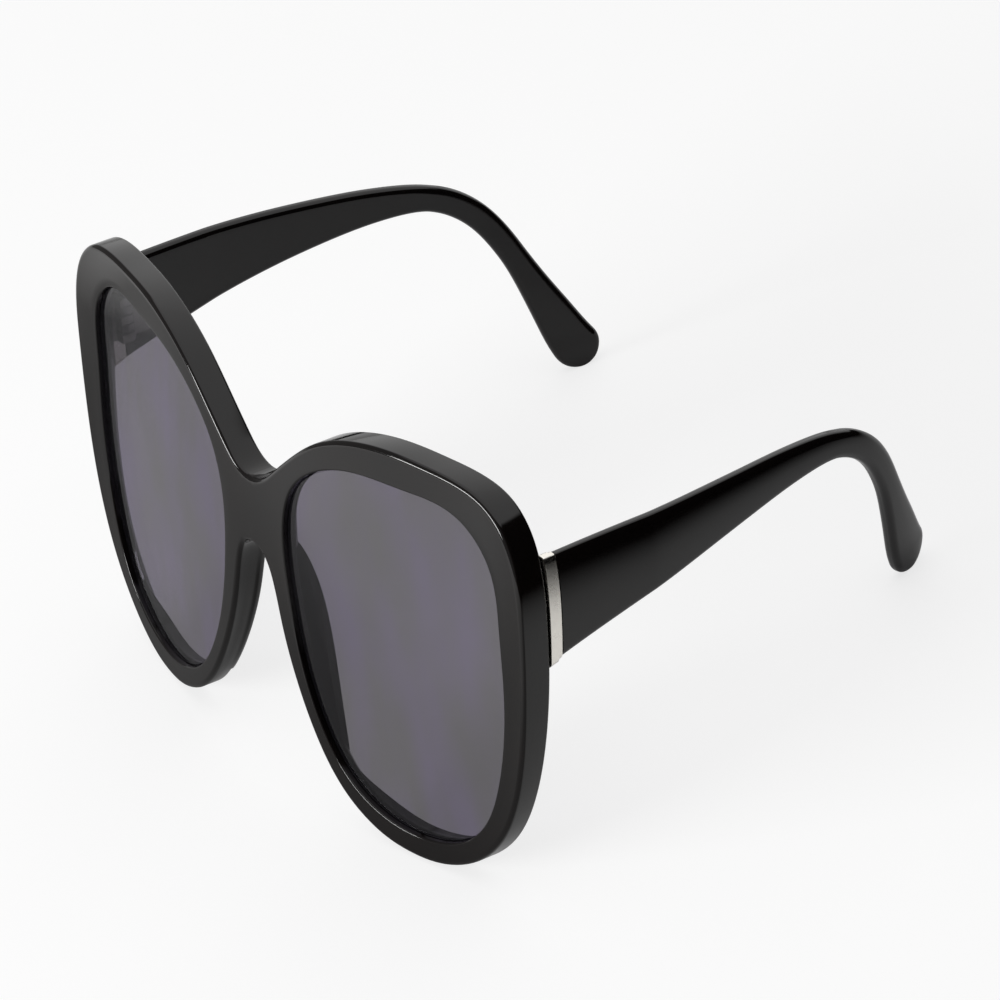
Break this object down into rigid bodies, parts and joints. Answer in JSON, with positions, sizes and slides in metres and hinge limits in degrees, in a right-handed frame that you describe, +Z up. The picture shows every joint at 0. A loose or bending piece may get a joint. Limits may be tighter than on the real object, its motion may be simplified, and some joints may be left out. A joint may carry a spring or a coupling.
{
  "type": "reading sunglasses",
  "caption": "Oversized reading sunglasses with a thick moulded front, smoked lenses, raised nose pads and tapered temples that fold on barrel hinges behind silver end caps.",
  "frame": {"origin": "middle of the bounding box's bottom, on the surface that the open glasses stand on with their rims and temple tips", "axes": "+X to the wearer's left, +Y from the front towards the wearer's ears, +Z up"},
  "size_m": [0.1404, 0.1096, 0.0763],
  "materials": {
    "black_plastic": "polished black acetate",
    "smoked_lens": "clear smoked grey plastic, polished",
    "silver_trim": "bright silver plating",
    "hinge_steel": "satin"
  },
  "bodies": {
    "front": {"front_frame": "black_plastic", "lens_left": "smoked_lens", "lens_right": "smoked_lens", "nose_pad_left": "black_plastic", "nose_pad_right": "black_plastic", "hinge_front_leaf_left": "hinge_steel", "hinge_front_leaf_right": "hinge_steel", "hinge_screw_left": "hinge_steel", "hinge_screw_right": "hinge_steel"},
    "left_temple": {"temple_left": "black_plastic", "temple_core_left": "hinge_steel", "temple_trim_left": "silver_trim", "hinge_temple_leaf_left": "hinge_steel", "hinge_rivet_lower_left": "hinge_steel", "hinge_rivet_upper_left": "hinge_steel"},
    "right_temple": {"temple_right": "black_plastic", "temple_core_right": "hinge_steel", "temple_trim_right": "silver_trim", "hinge_temple_leaf_right": "hinge_steel", "hinge_rivet_lower_right": "hinge_steel", "hinge_rivet_upper_right": "hinge_steel"}
  },
  "joints": [
    {"name": "temple_fold_left", "type": "hinge", "parent": "front", "child": "left_temple", "pos_m": [0.0651, -0.02783, 0.05421], "axis": [0, 0.2372, 0.9715], "range_deg": [0, 85]},
    {"name": "temple_fold_right", "type": "hinge", "parent": "front", "child": "right_temple", "pos_m": [-0.0651, -0.02783, 0.05421], "axis": [0, -0.2372, -0.9715], "range_deg": [0, 76]}
  ]
}
